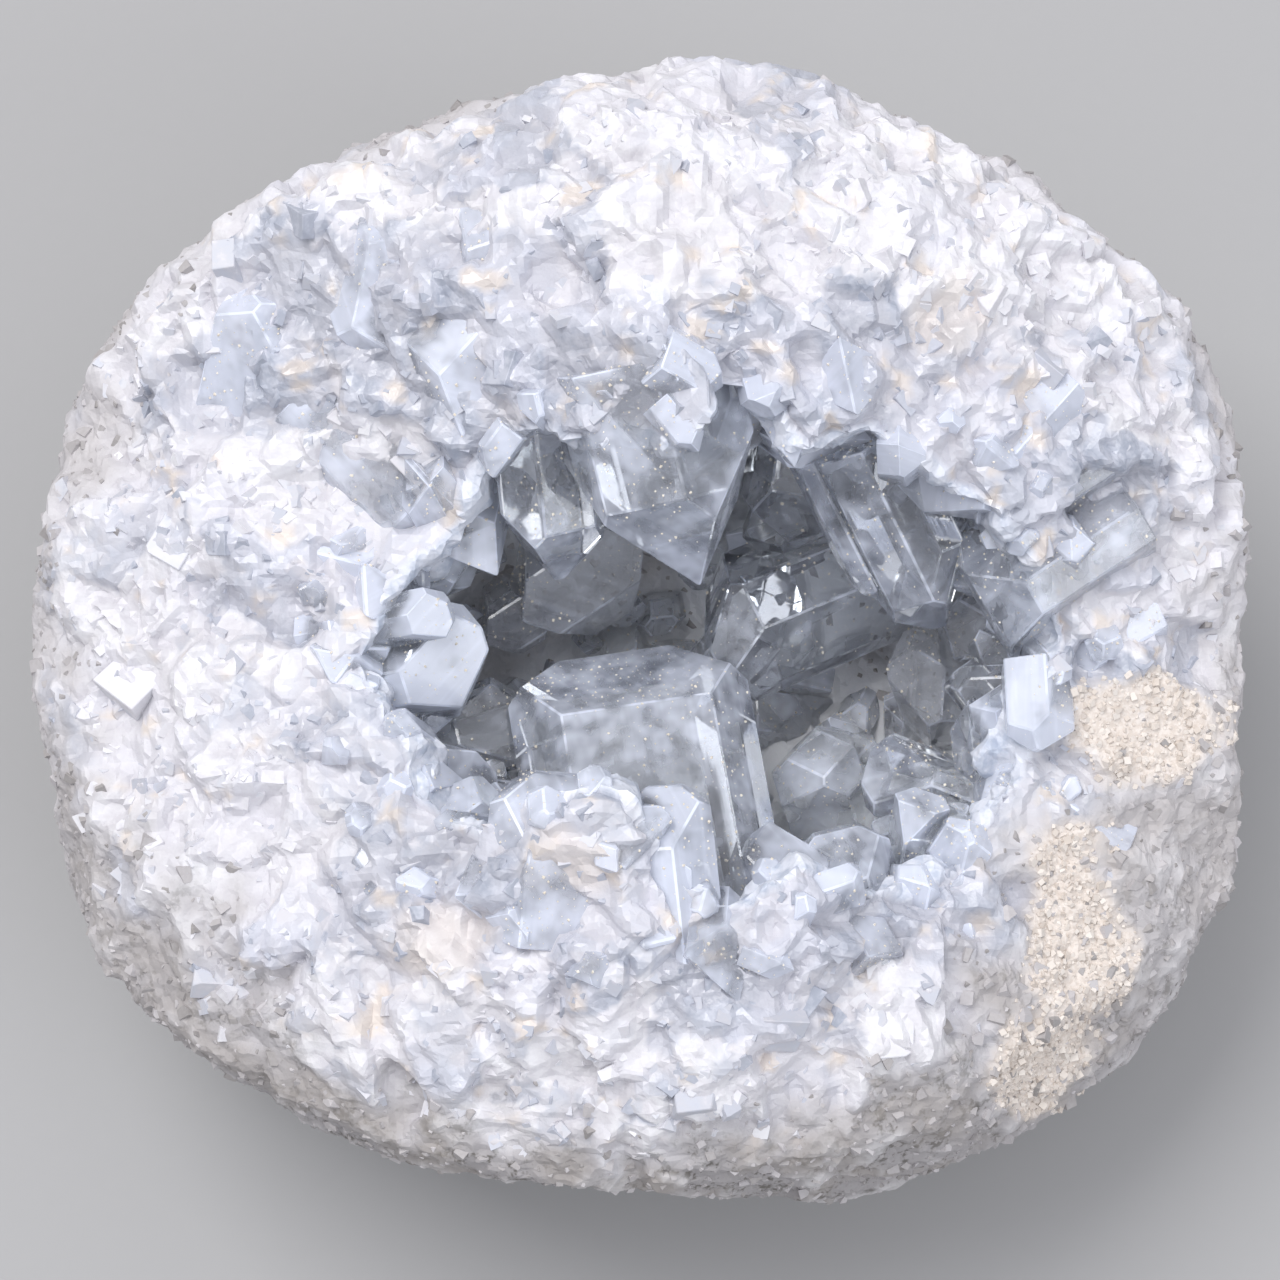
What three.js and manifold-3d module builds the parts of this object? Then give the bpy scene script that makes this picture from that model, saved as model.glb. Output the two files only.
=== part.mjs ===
// A celestite geode: a lump of pale, sugary celestite rock that was broken open, with a hollow that
// is lined with blue-grey crystals. It rests on a small flat spot.
//
// Millimetres, +Z up. The origin is the middle of the footprint, on the plane of the flat spot.
// Shapes are first described in the lump's own frame, where +Z is the way that the broken face looks
// and z = 0 is the widest section. That frame then leans forward to -Y.

import * as THREE from "three";
import { ConvexGeometry } from "three/addons/geometries/ConvexGeometry.js";
import { ImprovedNoise } from "three/addons/math/ImprovedNoise.js";
import { mergeVertices } from "three/addons/utils/BufferGeometryUtils.js";
import Module from "manifold-3d";

// ---- The lump of rock ------------------------------------------------------------------------------
// Both lists go round the lump every 30 degrees, from +X towards +Y.
const OUTLINE_RADII = [59.7, 62, 58.5, 55.8, 57.5, 63.2, 61.6, 63.4, 57, 56.2, 60.5, 64.3];
const RIM_HEIGHTS = [12, 20, 26, 28, 21, 13, 14, 19, 27, 28, 24, 13]; // above the widest section
const BELLY_DEPTH = 43; // from the widest section to the bottom, before the flat spot
const RIM_SQUARENESS = 3; // exponents of the section's curve: 2 is an ellipse
const BELLY_SQUARENESS = 2.1;
const LEAN = THREE.MathUtils.degToRad(18); // of the broken face, forward from level
const FLAT_SPOT_DEPTH = 4.5; // how much of the round bottom the flat spot takes off
const LUMP_DETAIL = 5;
const LUMP_UNEVENNESS = [
  { wavelength: 34, height: 2.4 },
  { wavelength: 14, height: 1.3 },
];

// ---- The hollow ------------------------------------------------------------------------------------
const HOLLOW = {
  centre: [6.3, -3, 6],
  halfWidth: 33,
  halfLength: 24.5,
  rise: 46,
  drop: 21,
  squareness: 2.3,
  tip: THREE.MathUtils.degToRad(10), // of its own axis, back towards +Y
  unevenness: [
    { wavelength: 20, height: 2.4 },
    { wavelength: 9, height: 1.6 },
  ],
};
const HOLLOW_DETAIL = 4;
const CORE_DETAIL = 3; // of the space that the lining leaves

// ---- Flat breaks and blocks of the rock --------------------------------------------------------------
// lowest and highest are heights of the directions from the lump's middle, from -1 to 1; tilt is how
// far a break or a block leans from the surface.
const RIND_BREAKS = { count: 54, lowest: -0.97, highest: 0.1, width: 70, depth: [0.2, 1], tilt: 0.07 };
const RIM_BLOCKS = {
  count: 80,
  lowest: 0.04,
  highest: 0.66,
  length: [12, 22],
  width: [10, 18],
  thickness: [8, 12],
  proud: [0.2, 2.4],
  tilt: 0.42,
};
const BLOCK_REACH = [0.5, 2.6]; // above the lump at most, at its widest section and on its rim
// Broken crystals round the mouth, which reach out over the hollow.
const LIP_BLOCKS = {
  count: 14,
  length: [12, 20],
  width: [8, 14],
  thickness: [5, 9],
  reach: [1, 6],
  tilt: 0.5,
};
const BREAK_SEED = 21;
const BLOCK_SEED = 11;
const LIP_SEED = 8;
// Blocks big enough to be told apart. at: the root; to: the tip; roll: about that line, in degrees;
// section: thickness and width; blunt: where the end is cut off flat, as a share of the length; ridge:
// how long the edge of a chisel-shaped end is.
const LARGE_BLOCKS = [
  { name: "pyramid", at: [-37, 22, -4], to: [-36, 38, 7], section: [11, 13], roll: 10 },
  { name: "smooth slab", at: [-30, 48, 0], to: [-21, 27, 12], section: [12, 15], roll: -12, blunt: 0.9 },
  { name: "second slab", at: [-14, 49, 6], to: [-11, 27, 16], section: [12, 13], roll: 14, blunt: 0.85 },
  { name: "ledge", at: [-50, 26, -2], to: [-28, 24, 4], section: [7, 9], roll: 30, blunt: 0.9 },
];
const LARGE_LIP_BLOCKS = [
  { name: "lip slab", at: [-22, 34, 4], to: [-10, 22, 11], section: [11, 16], roll: 5, blunt: 0.9 },
  { name: "overhanging plate", at: [-33, 27, 11], to: [-15.5, 10, 12], section: [7, 17], roll: 12, ridge: 4 },
  { name: "right lip block", at: [46, -22, 0], to: [33, -6, 9], section: [12, 13], roll: 20, blunt: 0.9 },
  { name: "near lip lump", at: [37, -34, 4], to: [25, -23, 17], section: [13, 13], roll: -15, blunt: 0.8 },
  { name: "left lip block", at: [-36, -14, 2], to: [-24, -6, 10], section: [10, 12], roll: 40, blunt: 0.9 },
];

// ---- The crystals ------------------------------------------------------------------------------------
// Celestite is orthorhombic; the slopes of its faces follow from the edges of its cell, in angstroms.
const CELL = [8.359, 5.352, 6.866];
const TIP_SPREAD = [0.86, 1.1]; // of where the faces of a tip meet its length
// The faces that a tip can have, by their indices: a chisel's lie across its thickness, and a prism's,
// blunt or steep, across its width.
const CHISEL_ENDS = [[1, 0, 1], [1, 0, -1]];
const PRISM_ENDS = [[2, 1, 0], [2, -1, 0]];
const STEEP_ENDS = [[1, 1, 0], [1, -1, 0]];
const FULL_ENDS = [...CHISEL_ENDS, ...PRISM_ENDS];
const WEDGE_ENDS = [...CHISEL_ENDS, ...STEEP_ENDS];
const FIT_GAP = 0.3; // between the rock and the crust of crystals
const LINING = 3; // thickness of the crust between its crystals
const LINING_DROP = 6; // from the rim down to the edge of the lining
const SMALL_CRYSTALS = {
  count: 35,
  lowest: -1,
  highest: 0.5,
  width: [7, 13],
  thickness: [6, 10],
  length: [12, 21],
  sunk: 0.35, // the share of its length that is in the wall
  tilt: 0.8,
};
const CRYSTAL_SEED = 5;
// As LARGE_BLOCKS, for the crystals that stand out in the hollow.
const LARGE_CRYSTALS = [
  { name: "hanging wedge", at: [-2, 29, 12], to: [5.6, 4, 7], section: [13, 18], roll: 16, ends: WEDGE_ENDS },
  { name: "hanging neighbour", at: [-12, 27, 9], to: [-8, 6, 2], section: [9, 13], roll: -22, ends: WEDGE_ENDS },
  { name: "right hanging", at: [22, 22, 12], to: [29, -1, 3], section: [10, 13], roll: 30, ends: WEDGE_ENDS },
  { name: "striped", at: [48, 14, 7], to: [31, 2, 6], section: [12, 15], roll: -20, blunt: 0.9, ridge: 5 },
  { name: "far dark", at: [17, 30, 0], to: [14.5, 11, -4], section: [9, 12], roll: 5 },
  { name: "dusty slab", at: [25, 8, -15], to: [4, -1, -5], section: [13, 16], roll: 10, blunt: 0.95 },
  { name: "flat-ended", at: [-9, 12, -17], to: [-6, 4, -2], section: [13, 19], roll: 12, blunt: 0.8, ridge: 8 },
  { name: "left facet", at: [-30, -3, -10], to: [-16, -2, -1], section: [9, 11], roll: 25, blunt: 0.95 },
  { name: "left low", at: [-24, -11, -9], to: [-11, -7, 0], section: [8, 11], roll: -15 },
  { name: "big near", at: [4, -32, -8], to: [-2, 0.5, 1], section: [14, 25], roll: 9, ridge: 15 },
  { name: "broken block", at: [19, -19, -15], to: [16, -10, -4], section: [10, 12], roll: 35, blunt: 0.8 },
  { name: "right blue", at: [38, -18, -6], to: [20, -13, 1], section: [9, 10], roll: 20 },
  { name: "near blue", at: [21, -33, 0], to: [17, -18, 7], section: [9, 13], roll: 0, blunt: 0.9 },
  { name: "dark right", at: [40, -5, -13], to: [23, -5, -7], section: [10, 14], roll: -8, blunt: 0.95 },
];

const wasm = await Module();
wasm.setup();
const noise = new ImprovedNoise();
const leanForward = new THREE.Matrix4().makeRotationX(LEAN);
const UP = new THREE.Vector3(0, 0, 1);
const FULL_TURN = 2 * Math.PI;

// A repeatable source of random numbers from 0 to 1 (mulberry32).
function randomSource(seed) {
  let state = seed;
  return () => {
    state = (state + 0x6d2b79f5) | 0;
    let t = Math.imul(state ^ (state >>> 15), 1 | state);
    t = (t + Math.imul(t ^ (t >>> 7), 61 | t)) ^ t;
    return ((t ^ (t >>> 14)) >>> 0) / 4294967296;
  };
}

const between = (random, [low, high]) => THREE.MathUtils.lerp(low, high, random());

// A direction at an angle about +Z whose height is z.
function directionAt(angle, z) {
  const flat = Math.sqrt(1 - z * z);
  return new THREE.Vector3(flat * Math.cos(angle), flat * Math.sin(angle), z);
}

const randomDirection = (random) => directionAt(FULL_TURN * random(), 2 * random() - 1);
const tilted = (way, random, tilt) => way.clone().addScaledVector(randomDirection(random), tilt).normalize();

// Directions spread evenly, along a spiral, over a band between two heights.
function evenDirections(random, { count, lowest, highest }) {
  const golden = Math.PI * (3 - Math.sqrt(5));
  const start = FULL_TURN * random();
  return Array.from({ length: count }, (_, i) => {
    const z = THREE.MathUtils.lerp(lowest, highest, (i + random()) / count);
    return directionAt(start + golden * i, z);
  });
}

// ---- Between three.js geometry and solids --------------------------------------------------------------
// The closed geometry as a solid, leaning as the geode does.
function solid(geometry) {
  const bare = geometry.clone().applyMatrix4(leanForward);
  bare.deleteAttribute("normal");
  bare.deleteAttribute("uv");
  const merged = mergeVertices(bare, 1e-4);
  return new wasm.Manifold(
    new wasm.Mesh({
      numProp: 3,
      vertProperties: merged.attributes.position.array,
      triVerts: new Uint32Array(merged.index.array),
    }),
  );
}

function geometryOf(shape) {
  const { vertProperties, triVerts } = shape.getMesh(); // three numbers a point: nothing but its place
  const geometry = new THREE.BufferGeometry();
  geometry.setAttribute("position", new THREE.BufferAttribute(vertProperties, 3));
  geometry.setIndex(new THREE.BufferAttribute(triVerts, 1));
  return geometry;
}

const joined = (solids) => wasm.Manifold.union(solids);
const largestBody = (shape) => shape.decompose().reduce((a, b) => (a.volume() > b.volume() ? a : b));

// ---- Round shapes ------------------------------------------------------------------------------------
// A sphere whose points are pushed out to radiusAt(direction).
function roundGeometry(detail, radiusAt) {
  const geometry = new THREE.IcosahedronGeometry(1, detail);
  const place = geometry.attributes.position;
  const direction = new THREE.Vector3();
  for (let i = 0; i < place.count; i++) {
    direction.fromBufferAttribute(place, i).normalize();
    const point = direction.clone().multiplyScalar(radiusAt(direction));
    place.setXYZ(i, point.x, point.y, point.z);
  }
  return geometry;
}

// The radius of a rounded box-like section: across and along are shares of its half sizes.
const sectionRadius = (across, along, squareness) =>
  (across ** squareness + along ** squareness) ** (-1 / squareness);

function unevennessAt(point, layers) {
  return layers.reduce((sum, { wavelength, height }) => {
    const p = point.clone().divideScalar(wavelength);
    return sum + height * noise.noise(p.x + 7.3, p.y + 2.1, p.z + 4.7);
  }, 0);
}

// The value, at an angle, of a list that goes round in even steps.
function roundTheLump(values, angle) {
  const count = values.length;
  const place = (angle / FULL_TURN + 1) * count;
  const i = Math.floor(place);
  const share = THREE.MathUtils.smoothstep(place - i, 0, 1);
  return THREE.MathUtils.lerp(values[i % count], values[(i + 1) % count], share);
}

// How far the lump reaches from its middle in a direction, lowered by a drop.
function lumpRadius(direction, drop = 0) {
  const angle = Math.atan2(direction.y, direction.x);
  const across = Math.hypot(direction.x, direction.y) / roundTheLump(OUTLINE_RADII, angle);
  const above = direction.z > 0;
  const along = Math.abs(direction.z) / (above ? roundTheLump(RIM_HEIGHTS, angle) : BELLY_DEPTH);
  const radius = sectionRadius(across, along, above ? RIM_SQUARENESS : BELLY_SQUARENESS);
  return radius - drop + unevennessAt(direction.clone().multiplyScalar(radius), LUMP_UNEVENNESS);
}

const lumpPoint = (direction) => direction.clone().multiplyScalar(lumpRadius(direction));

function lumpNormal(direction) {
  const side = UP.clone().cross(direction).normalize();
  const rise = direction.clone().cross(side);
  const [here, beside, above] = [new THREE.Vector3(), side, rise].map((step) =>
    lumpPoint(direction.clone().addScaledVector(step, 0.08).normalize()),
  );
  return beside.sub(here).cross(above.sub(here)).normalize();
}

// How far the hollow reaches from its centre in a direction of its own, drawn in by an inset.
function hollowRadius(direction, inset) {
  const { halfWidth, halfLength, rise, drop, squareness, unevenness } = HOLLOW;
  const across = Math.hypot(direction.x / (halfWidth - inset), direction.y / (halfLength - inset));
  const along = Math.abs(direction.z) / ((direction.z > 0 ? rise : drop) - inset);
  const radius = sectionRadius(across, along, squareness);
  return radius + unevennessAt(direction.clone().multiplyScalar(radius + inset), unevenness);
}

const hollowPlacement = new THREE.Matrix4()
  .makeTranslation(...HOLLOW.centre)
  .multiply(new THREE.Matrix4().makeRotationX(-HOLLOW.tip));
const intoHollow = hollowPlacement.clone().invert();

function hollowSolid(inset, detail = HOLLOW_DETAIL) {
  const geometry = roundGeometry(detail, (direction) => hollowRadius(direction, inset));
  return solid(geometry.applyMatrix4(hollowPlacement));
}

function isInHollow(point) {
  const own = point.clone().applyMatrix4(intoHollow);
  return own.length() < hollowRadius(own.clone().normalize(), 0);
}

// The direction, at an angle about +Z, of the edge where the hollow opens.
function mouthDirection(angle) {
  let [rim, mouth] = [0, 0.99];
  for (let step = 0; step < 12; step++) {
    const middle = (rim + mouth) / 2;
    if (isInHollow(lumpPoint(directionAt(angle, middle)))) mouth = middle;
    else rim = middle;
  }
  return directionAt(angle, mouth);
}

// ---- Crystals ----------------------------------------------------------------------------------------
// The corner points that a set of planes leaves: each plane is a normal and a distance from the root.
function cornersOf(planes) {
  const corners = [];
  const cross = (p, q) => p.normal.clone().cross(q.normal);
  planes.forEach((p, i) =>
    planes.slice(i + 1).forEach((q, j) =>
      planes.slice(i + j + 2).forEach((r) => {
        const volume = p.normal.dot(cross(q, r));
        if (Math.abs(volume) < 1e-6) return;
        const corner = cross(q, r).multiplyScalar(p.distance);
        corner.addScaledVector(cross(r, p), q.distance).addScaledVector(cross(p, q), r.distance);
        corner.divideScalar(volume);
        const inside = planes.every((s) => s.normal.dot(corner) < s.distance + 1e-6);
        if (inside && corners.every((known) => known.distanceTo(corner) > 0.05)) corners.push(corner);
      }),
    ),
  );
  return corners;
}

const faceNormal = (h, k, l) => new THREE.Vector3(h / CELL[0], k / CELL[1], l / CELL[2]).normalize();

// The faces of a celestite crystal with its root at the origin, growing along +X: thickness is along
// Z, width along Y. Random shares vary where the faces lie, and so the crystal's shape. The tip has
// the faces in ends, with the prism's faces so far apart that a chisel keeps an edge as long as ridge.
function crystalFaces({ section, length, blunt = 1.05, ends = FULL_ENDS, ridge = 0 }, random) {
  const [thickness, width] = section;
  const faces = [
    { normal: new THREE.Vector3(-1, 0, 0), distance: 0 },
    { normal: new THREE.Vector3(1, 0, 0), distance: length * blunt },
  ];
  const add = (normal, distance) => faces.push({ normal, distance });
  for (const side of [-1, 1]) {
    add(faceNormal(0, 0, side), thickness / 2);
    for (const other of [-1, 1]) {
      const dome = faceNormal(0, side, other);
      add(dome, (Math.abs(dome.y) * width * between(random, [0.85, 1])) / 2);
    }
  }
  for (const indices of ends) {
    const normal = faceNormal(...indices);
    const meets = normal.x * length * between(random, TIP_SPREAD);
    add(normal, meets + (Math.abs(normal.y) * ridge) / 2);
  }
  return faces;
}

// At a point, with X along a line and Z as near as can be to the way it faces.
function placement(at, along, facing) {
  const x = along.clone().normalize();
  const y = facing.clone().cross(x).normalize();
  return new THREE.Matrix4().makeBasis(x, y, x.clone().cross(y)).setPosition(at);
}

// A function that makes the solid between faces, drawn out by as much as it is asked for.
function maker(faces, placed) {
  return (drawnOut = 0) => {
    const moved = faces.map(({ normal, distance }) => ({ normal, distance: distance + drawnOut }));
    return solid(new ConvexGeometry(cornersOf(moved)).applyMatrix4(placed));
  };
}

// A crystal from its root to its tip whose flat side faces a way, turned about its length by roll.
function crystal({ at, to, facing = UP, roll = 0, ...shape }, random) {
  const placed = placement(at, to.clone().sub(at), facing);
  placed.multiply(new THREE.Matrix4().makeRotationX(roll));
  return maker(crystalFaces({ length: to.distanceTo(at), ...shape }, random), placed);
}

// A block that celestite breaks into, about its middle: it parts along one flat pair of faces and two
// steep ones that are not square to each other. size: length, width and thickness.
function cleavageBlock(middle, along, facing, [length, width, thickness]) {
  const pairs = [
    [faceNormal(0, 0, 1), thickness],
    [faceNormal(2, 1, 0), length],
    [faceNormal(2, -1, 0), width],
  ];
  const faces = pairs.flatMap(([normal, across]) => [
    { normal, distance: across / 2 },
    { normal: normal.clone().negate(), distance: across / 2 },
  ]);
  return maker(faces, placement(middle, along, facing));
}

function namedCrystals(list, random) {
  return list.map(({ at, to, roll, ...rest }) => {
    const [root, tip] = [new THREE.Vector3(...at), new THREE.Vector3(...to)];
    return crystal({ ...rest, at: root, to: tip, roll: THREE.MathUtils.degToRad(roll) }, random);
  });
}

// ---- The rock's blocks and breaks --------------------------------------------------------------------
// Broken crystals that lie in the rim with their flat sides outwards.
function rimBlocks() {
  const random = randomSource(BLOCK_SEED);
  const { length, width, thickness, proud, tilt } = RIM_BLOCKS;
  return evenDirections(random, RIM_BLOCKS).map((direction) => {
    const facing = tilted(lumpNormal(direction), random, tilt);
    const along = facing.clone().cross(randomDirection(random)).normalize();
    const size = [length, width, thickness].map((range) => between(random, range));
    const middle = lumpPoint(direction).addScaledVector(facing, between(random, proud) - size[2] / 2);
    return cleavageBlock(middle, along, facing, size);
  });
}

function lipBlocks() {
  const random = randomSource(LIP_SEED);
  const { count, length, width, thickness, reach, tilt } = LIP_BLOCKS;
  const centre = new THREE.Vector3(...HOLLOW.centre);
  return Array.from({ length: count }, (_, i) => {
    const direction = mouthDirection((FULL_TURN * (i + random())) / count);
    const facing = tilted(lumpNormal(direction), random, tilt);
    const edge = lumpPoint(direction);
    const inwards = centre.clone().sub(edge).setZ(0).normalize();
    const along = inwards.projectOnPlane(facing).normalize();
    const size = [length, width, thickness].map((range) => between(random, range));
    const middle = edge.addScaledVector(facing, -size[2] / 2);
    middle.addScaledVector(along, between(random, reach) - size[0] / 2);
    return cleavageBlock(middle, along, facing, size);
  });
}

// What the blocks are broken off to: the lump, drawn out on the rim and hardly at the widest section.
function reachOfBlocks() {
  const [least, most] = BLOCK_REACH;
  const radiusAt = (direction) => {
    const share = THREE.MathUtils.smoothstep(direction.z, 0.05, 0.45);
    return lumpRadius(direction, -THREE.MathUtils.lerp(least, most, share));
  };
  return solid(roundGeometry(LUMP_DETAIL, radiusAt));
}

// Boxes whose lower faces graze the rind, each of which leaves a flat break.
function rindBreaks() {
  const random = randomSource(BREAK_SEED);
  const { width, depth, tilt } = RIND_BREAKS;
  return evenDirections(random, RIND_BREAKS).map((direction) => {
    const normal = tilted(lumpNormal(direction), random, tilt);
    const at = lumpPoint(direction).addScaledVector(normal, width / 2 - between(random, depth));
    const box = new THREE.BoxGeometry(width, width, width);
    box.applyQuaternion(new THREE.Quaternion().setFromUnitVectors(UP, normal));
    return solid(box.translate(at.x, at.y, at.z));
  });
}

function flatSpotCutter(bottom) {
  const size = 200;
  const box = new THREE.BoxGeometry(size, size, size);
  box.translate(0, 0, bottom + FLAT_SPOT_DEPTH - size / 2);
  return solid(box.applyMatrix4(leanForward.clone().invert()));
}

// ---- The crust's crystals ----------------------------------------------------------------------------
function smallCrystals(random) {
  const { length, width, thickness, sunk, tilt } = SMALL_CRYSTALS;
  return evenDirections(random, SMALL_CRYSTALS).map((direction) => {
    const wall = direction.clone().multiplyScalar(hollowRadius(direction, 0));
    const along = tilted(direction.clone().negate(), random, tilt);
    const reach = between(random, length);
    const at = wall.clone().addScaledVector(along, -sunk * reach).applyMatrix4(hollowPlacement);
    const to = wall.addScaledVector(along, (1 - sunk) * reach).applyMatrix4(hollowPlacement);
    const section = [between(random, thickness), between(random, width)];
    const facing = randomDirection(random);
    const blunt = between(random, [0.85, 1.1]);
    const ends = random() < 0.5 ? CHISEL_ENDS : PRISM_ENDS;
    return crystal({ at, to, section, blunt, ends, facing }, random);
  });
}

// ---- The two pieces ----------------------------------------------------------------------------------
const made = (crystals, drawnOut) => joined(crystals.map((make) => make(drawnOut)));
const lump = solid(roundGeometry(LUMP_DETAIL, (direction) => lumpRadius(direction)));
const lip = [...lipBlocks(), ...namedCrystals(LARGE_LIP_BLOCKS, randomSource(LIP_SEED))];

function buildRock() {
  const blocks = [...rimBlocks(), ...namedCrystals(LARGE_BLOCKS, randomSource(BLOCK_SEED))];
  const open = joined([joined([lump, made(blocks)]).subtract(hollowSolid(0)), made(lip)]);
  const broken = open.intersect(reachOfBlocks()).subtract(joined(rindBreaks()));
  return largestBody(broken.subtract(flatSpotCutter(broken.boundingBox().min[2])));
}

// The crust is the hollow's own shape, less the air between the crystals.
function buildCrust() {
  const random = randomSource(CRYSTAL_SEED);
  const lowered = solid(roundGeometry(CORE_DETAIL, (direction) => lumpRadius(direction, LINING_DROP)));
  const core = hollowSolid(FIT_GAP + LINING, CORE_DETAIL);
  const aboveLining = hollowSolid(-LINING, CORE_DETAIL).subtract(lowered);
  const crystals = [...namedCrystals(LARGE_CRYSTALS, random), ...smallCrystals(random)];
  const air = joined([core, aboveLining]).subtract(made(crystals));
  const room = hollowSolid(FIT_GAP).intersect(lump);
  return largestBody(room.subtract(air).subtract(made(lip, FIT_GAP)));
}

const rock = buildRock();
const { min, max } = rock.boundingBox();

const pieces = {
  rock: { shape: rock, color: 0xdcdce4, roughness: 0.75 },
  crystal_crust: { shape: buildCrust(), color: 0x9fb0c4, roughness: 0.15 },
};
const geode = new THREE.Group();
for (const [name, { shape, color, roughness }] of Object.entries(pieces)) {
  const material = new THREE.MeshStandardMaterial({ color, roughness, metalness: 0 });
  const mesh = new THREE.Mesh(geometryOf(shape), material);
  mesh.name = name;
  mesh.position.set(-(min[0] + max[0]) / 2, -(min[1] + max[1]) / 2, -min[2]);
  geode.add(mesh);
}

export default geode;
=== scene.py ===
"""The looks of a celestite geode: the broken rock, the crystals in its hollow and the stage.

The file is laid out as an add-on and runs as a script. Lengths are in metres, except where a name
or a comment says millimetres. The geode rests on z = 0 with its broken face up, leaning to -Y.
"""

import itertools
import math

import bmesh
import bpy
import numpy as np
from bpy.props import FloatProperty, FloatVectorProperty, IntProperty, PointerProperty
from mathutils import Matrix, Vector, noise
from mathutils.kdtree import KDTree


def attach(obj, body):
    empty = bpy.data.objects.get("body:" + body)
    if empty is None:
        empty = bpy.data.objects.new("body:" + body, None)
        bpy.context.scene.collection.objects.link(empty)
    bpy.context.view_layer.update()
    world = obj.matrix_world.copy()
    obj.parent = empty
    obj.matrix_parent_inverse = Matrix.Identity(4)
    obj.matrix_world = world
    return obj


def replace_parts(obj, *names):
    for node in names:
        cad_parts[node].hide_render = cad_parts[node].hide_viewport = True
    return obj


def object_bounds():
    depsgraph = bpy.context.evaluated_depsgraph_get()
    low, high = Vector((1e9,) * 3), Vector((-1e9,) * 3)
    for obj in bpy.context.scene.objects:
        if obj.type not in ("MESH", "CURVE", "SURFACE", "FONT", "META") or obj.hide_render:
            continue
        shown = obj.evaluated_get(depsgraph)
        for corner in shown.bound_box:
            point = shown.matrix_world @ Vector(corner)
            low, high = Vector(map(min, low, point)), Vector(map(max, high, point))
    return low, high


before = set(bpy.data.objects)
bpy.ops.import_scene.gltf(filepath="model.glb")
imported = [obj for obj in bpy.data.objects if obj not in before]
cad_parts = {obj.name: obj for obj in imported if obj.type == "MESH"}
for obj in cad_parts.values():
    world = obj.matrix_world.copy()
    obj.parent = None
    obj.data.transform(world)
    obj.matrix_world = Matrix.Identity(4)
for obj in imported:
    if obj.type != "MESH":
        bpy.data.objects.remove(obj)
CAD_LOW, CAD_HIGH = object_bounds()

bl_info = {
    "name": "Celestite geode",
    "version": (1, 0, 0),
    "blender": (4, 5, 0),
    "location": "View3D > Sidebar > Geode",
    "description": "Builds the rock, crystals and grains of a celestite geode",
    "category": "Object",
}

BODY = "root"
ROCK_SLOT = "celestite_rock"
CRYSTAL_SLOT = "celestite_crystal"
SEEDS = {"rock": 3, "crystals": 5, "blocks": 8, "grains": 9, "rim_blocks": 11, "rim_chips": 12}
MM = 0.001

# The lump's own frame, in millimetres: +Z is the way that the broken face looks.
LUMP_MIDDLE = Vector((0.48, 0.44, 40.7)) * MM
LEAN = math.radians(18)
FROM_LUMP = Matrix.Translation(LUMP_MIDDLE) @ Matrix.Rotation(LEAN, 4, "X") @ Matrix.Scale(MM, 4)
TO_LUMP = FROM_LUMP.inverted()

# The hollow, in the lump's frame.
HOLLOW_MIDDLE = np.array((6.3, -3.0, 6.0))
HOLLOW_HALF_SIZE = np.array((33.0, 24.5, 21.0))

# Places on the broken face, in the lump's frame: middle across and up, half width, half height.
SAND_PATCHES = [
    (49.0, -8.5, 8.5, 5.5),
    (41.5, -30.0, 5.5, 11.0),
    (38.0, -41.0, 6.0, 5.0),
]
STAIN_PATCHES = [
    (-8.0, -20.5, 5.0, 3.0),
    (-20.0, -28.0, 5.0, 4.0),
    (29.0, 31.0, 4.0, 4.0),
]
CLEAR_PATCHES = [
    (-23.5, -22.0, 8.0, 6.0),
    (36.0, -38.0, 3.5, 3.5),
    (46.0, -28.0, 4.0, 5.0),
    (-20.0, 32.0, 15.0, 10.0),
    (-40.0, 25.0, 11.0, 5.0),
    (-34.0, 35.0, 7.0, 7.0),
    (10.0, 26.0, 28.0, 7.0),
    (40.0, 15.0, 10.0, 8.0),
    (30.0, -26.0, 8.0, 5.0),
]

# Celestite is orthorhombic; the slopes of its faces follow from the edges of its cell, in angstroms.
CELL = (8.359, 5.352, 6.866)
CHISEL = [(1, 0, 1), (1, 0, -1)]
PRISM = [(2, 1, 0), (2, -1, 0)]
STEEP = [(1, 1, 0), (1, -1, 0)]
FULL_ENDS = CHISEL + PRISM
WEDGE_ENDS = CHISEL + STEEP

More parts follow.
